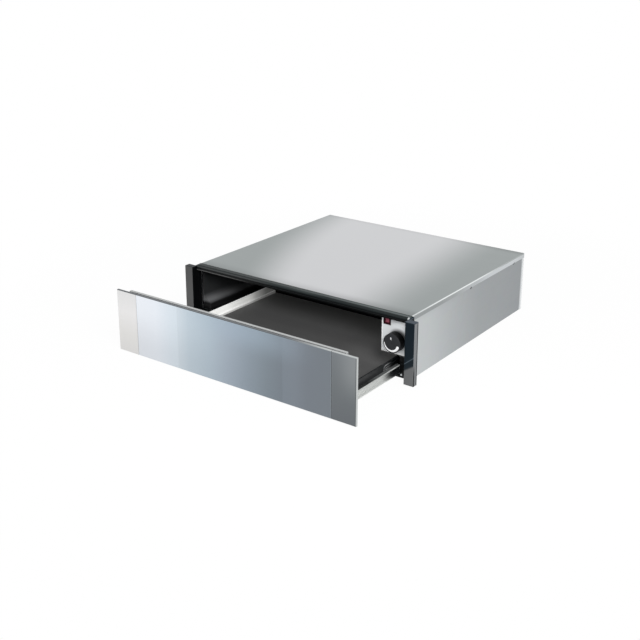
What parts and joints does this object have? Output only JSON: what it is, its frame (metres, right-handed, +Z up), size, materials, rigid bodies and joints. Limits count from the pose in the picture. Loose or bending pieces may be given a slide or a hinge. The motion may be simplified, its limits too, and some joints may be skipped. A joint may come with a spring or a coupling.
{
  "type": "built-in warming drawer",
  "caption": "Slim warming drawer for a kitchen niche, pulled part way out: glass and steel front, black tray with a rubber mat on ball slides, dial and rocker switch on a small plate.",
  "frame": {"origin": "centre of the underside of the case (the fixed box without posts and drawer front)", "axes": "+X to the right seen from the front, +Y from the front into the niche, +Z up; the drawer opens along -Y"},
  "size_m": [0.597, 0.7307, 0.135],
  "materials": {
    "zinc_sheet": "smooth zinc-coated sheet, soft broad reflections",
    "frame_black": "gloss black enamel",
    "black_steel": "gloss black enamel on sheet",
    "zinc_slides": "bright zinc",
    "screws": "bright zinc",
    "insulation": "pressed fibre mat",
    "heater_tube": "heat-stained steel tube",
    "motor": "satin",
    "fan_aluminium": "pressed sheet",
    "cutout_case": "moulded",
    "black_plastic": "moulded",
    "plate_pale": "pale satin enamel",
    "thermostat": "plain",
    "shaft_steel": "turned",
    "knob_black": "moulded, satin gloss",
    "marking": "pale inlay",
    "switch_dark": "moulded, dark",
    "rocker_red": "translucent red moulding",
    "cage_brass": "pressed strip",
    "ball_steel": "polished",
    "trim_steel": "brushed along its length",
    "mat_rubber": "matt, fine texture",
    "front_glass": "back-painted glass, mirror-like grey blue",
    "front_steel": "brushed stainless, vertical gradient",
    "carrier_zinc": "zinc-coated sheet",
    "rail_aluminium": "anodised, satin",
    "buffer_rubber": "soft"
  },
  "bodies": {
    "case": {"base_pan": "zinc_sheet", "side_wall_left": "zinc_sheet", "side_wall_right": "zinc_sheet", "rear_panel": "zinc_sheet", "top_cover": "zinc_sheet", "cover_screws": "screws", "front_post_left": "frame_black", "front_post_right": "frame_black", "post_screws": "screws", "top_trim": "frame_black", "front_sill": "black_steel", "sill_screws": "screws", "liner_left": "black_steel", "liner_right": "black_steel", "cavity_ceiling": "black_steel", "insulation_mat": "insulation", "air_baffle": "black_steel", "baffle_screws": "screws", "heater_element": "heater_tube", "heater_clips": "zinc_slides", "fan_motor": "motor", "motor_bracket": "zinc_slides", "bracket_screws": "screws", "thermal_cutout": "cutout_case", "terminal_block": "cutout_case", "cable_gland": "black_plastic", "gland_nut": "black_plastic", "control_box": "black_plastic", "control_plate": "plate_pale", "plate_screws": "screws", "thermostat_body": "thermostat", "switch_frame": "switch_dark", "slide_channel_left": "zinc_slides", "slide_channel_right": "zinc_slides", "slide_rivets": "screws"},
    "drawer": {"tray": "black_steel", "side_trim_left": "trim_steel", "side_trim_right": "trim_steel", "rubber_mat": "mat_rubber", "slide_member_left": "zinc_slides", "slide_member_right": "zinc_slides", "member_screws": "screws", "glass_panel": "front_glass", "end_panel_left": "front_steel", "end_panel_right": "front_steel", "front_carrier": "carrier_zinc", "grip_rail": "rail_aluminium", "rail_rivets": "screws", "front_screws": "screws", "buffers": "buffer_rubber"},
    "cage_left": {"ball_cage_left": "cage_brass", "balls_left": "ball_steel"},
    "cage_right": {"ball_cage_right": "cage_brass", "balls_right": "ball_steel"},
    "dial": {"knob": "knob_black", "knob_marking": "marking", "thermostat_shaft": "shaft_steel"},
    "rocker": {"rocker": "rocker_red"},
    "fan": {"fan_wheel": "fan_aluminium"}
  },
  "joints": [
    {"name": "drawer_slide", "type": "slide", "parent": "case", "child": "drawer", "axis": [0, -1, 0], "range_m": [-0.191, 0.11]},
    {"name": "cage_slide_left", "type": "slide", "parent": "case", "child": "cage_left", "axis": [0, -1, 0], "range_m": [-0.0956, 0.0552]},
    {"name": "cage_slide_right", "type": "slide", "parent": "case", "child": "cage_right", "axis": [0, -1, 0], "range_m": [-0.0956, 0.0552]},
    {"name": "dial_turn", "type": "hinge", "parent": "case", "child": "dial", "pos_m": [0.2385, -0.25, 0.07561], "axis": [0, 1, 0], "range_deg": [0, 270]},
    {"name": "rocker_tilt", "type": "hinge", "parent": "case", "child": "rocker", "pos_m": [0.2164, -0.2429, 0.1139], "axis": [1, 0, 0], "range_deg": [-14, 0]},
    {"name": "fan_spin", "type": "hinge", "parent": "case", "child": "fan", "pos_m": [0.11, 0.18, 0.0619], "axis": [0, 1, 0], "continuous": true}
  ],
  "couplings": [
    {"joint": "cage_slide_left", "follows": "drawer_slide", "ratio": 0.5},
    {"joint": "cage_slide_right", "follows": "drawer_slide", "ratio": 0.5}
  ]
}
